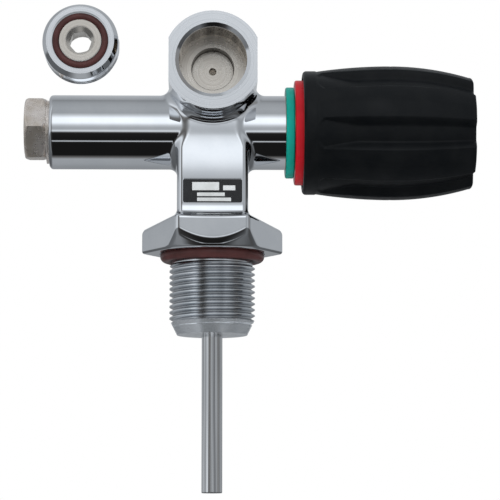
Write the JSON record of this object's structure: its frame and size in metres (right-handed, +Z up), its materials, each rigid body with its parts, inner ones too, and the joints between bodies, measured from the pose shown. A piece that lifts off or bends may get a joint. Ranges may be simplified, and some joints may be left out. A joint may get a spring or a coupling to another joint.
{
  "type": "scuba cylinder valve",
  "caption": "Chromed crossbar valve with a threaded neck stem, a dip tube, a threaded outlet socket, a loose yoke insert, a side plug and a long lobed knob with indicator rings.",
  "frame": {"origin": "on the neck stem's axis, at the underside of the hexagonal flange", "axes": "+Z up the stem axis, +X along the crossbar towards the knob, -Y out of the outlet's mouth"},
  "size_m": [0.1384, 0.0635, 0.1444],
  "materials": {
    "chrome_brass": "polished chrome plate on forged brass",
    "satin_nickel": "satin nickel plate on brass, slightly worn",
    "raw_brass": "machined",
    "copper": "rolled sheet",
    "maroon_rubber": "smooth",
    "black_rubber": "moulded, slight sheen",
    "black_plastic": "moulded",
    "green_plastic": "moulded",
    "red_plastic": "moulded",
    "white_plastic": "machined",
    "steel": "drawn or turned",
    "black_label": "printed foil"
  },
  "bodies": {
    "valve": {"valve_body": "chrome_brass", "neck_oring": "maroon_rubber", "dip_tube": "steel", "label_plate": "black_label", "side_plug": "satin_nickel", "side_plug_oring": "maroon_rubber", "safety_plug": "satin_nickel", "burst_disc": "copper", "burst_gasket": "raw_brass", "bonnet_nut": "raw_brass", "bonnet_oring": "maroon_rubber", "thrust_washer": "white_plastic", "green_ring": "green_plastic"},
    "knob": {"spindle": "steel", "spindle_orings": "black_rubber", "knob_core": "black_plastic", "knob_grip": "black_rubber", "knob_spring": "steel", "knob_washer": "steel", "knob_nut": "steel"},
    "seat": {"seat_carrier": "raw_brass", "seat_disc": "white_plastic"},
    "indicator": {"red_ring": "red_plastic"},
    "insert": {"yoke_insert": "chrome_brass", "insert_face_oring": "maroon_rubber", "insert_rear_oring": "maroon_rubber"}
  },
  "joints": [
    {"name": "knob_turn", "type": "hinge", "parent": "valve", "child": "knob", "pos_m": [0.055, 0, 0.0379], "axis": [1, 0, 0], "range_deg": [0, 900]},
    {"name": "seat_travel", "type": "slide", "parent": "knob", "child": "seat", "axis": [1, 0, 0], "range_m": [0, 0.0026]},
    {"name": "indicator_travel", "type": "slide", "parent": "knob", "child": "indicator", "axis": [1, 0, 0], "range_m": [0, 0.0036]},
    {"name": "insert_carry", "type": "slide", "parent": "valve", "child": "insert", "axis": [0.9986, 0, -0.0535], "range_m": [0, 0.03926]}
  ],
  "couplings": [
    {"joint": "seat_travel", "follows": "knob_turn", "m_per_rad": 0.00015915},
    {"joint": "indicator_travel", "follows": "knob_turn", "m_per_rad": 0.00022282}
  ]
}
